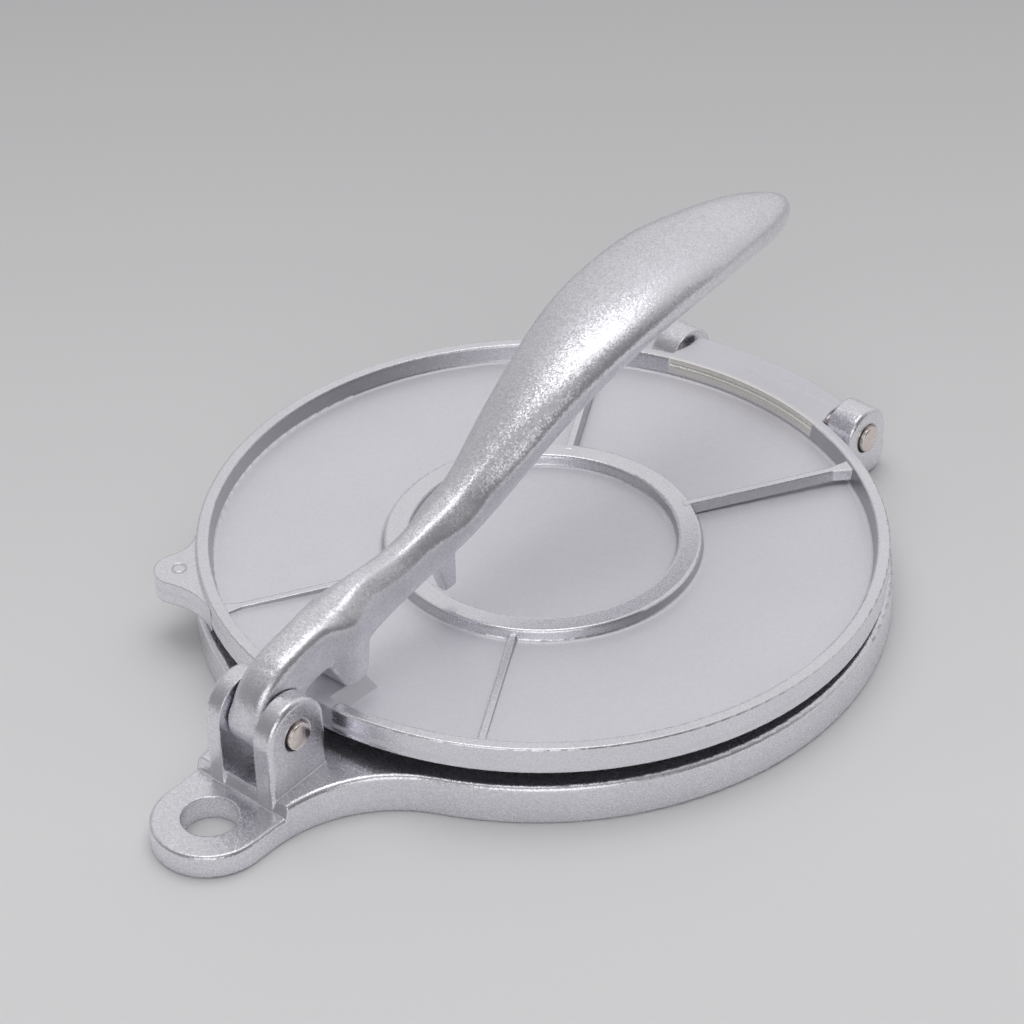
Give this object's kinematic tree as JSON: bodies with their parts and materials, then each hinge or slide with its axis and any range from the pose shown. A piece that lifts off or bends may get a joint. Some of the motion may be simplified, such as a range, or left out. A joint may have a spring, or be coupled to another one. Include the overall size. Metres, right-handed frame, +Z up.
{
  "type": "tortilla press",
  "caption": "Hand press for flattening dough: ribbed round plate hinged to a round base, closed by a cranked lever with a broad grip, hanging hole in the tongue.",
  "frame": {"origin": "centre of the base disc, on the surface the press stands on", "axes": "+X along the rear hinge, +Y from the lever pin to the rear hinge, +Z up"},
  "size_m": [0.202, 0.2686, 0.0923],
  "materials": {
    "cast_body": "as-cast aluminium, tumbled to a satin grain",
    "pin": "nickelled steel, peened ends"
  },
  "bodies": {
    "base": {"base_plate": "cast_body", "lever_pin": "pin", "hinge_pin_left": "pin", "hinge_pin_right": "pin"},
    "plate": {"top_plate": "cast_body"},
    "lever": {"press_lever": "cast_body"}
  },
  "joints": [
    {"name": "lever_hinge", "type": "hinge", "parent": "base", "child": "lever", "pos_m": [0, -0.115, 0.0278], "axis": [1, 0, 0], "range_deg": [0, 160]},
    {"name": "plate_hinge", "type": "hinge", "parent": "base", "child": "plate", "pos_m": [0, 0.105, 0.0142], "axis": [-1, 0, 0], "range_deg": [0, 16]}
  ],
  "couplings": [
    {"joint": "plate_hinge", "follows": "lever_hinge", "ratio": 0.1}
  ]
}
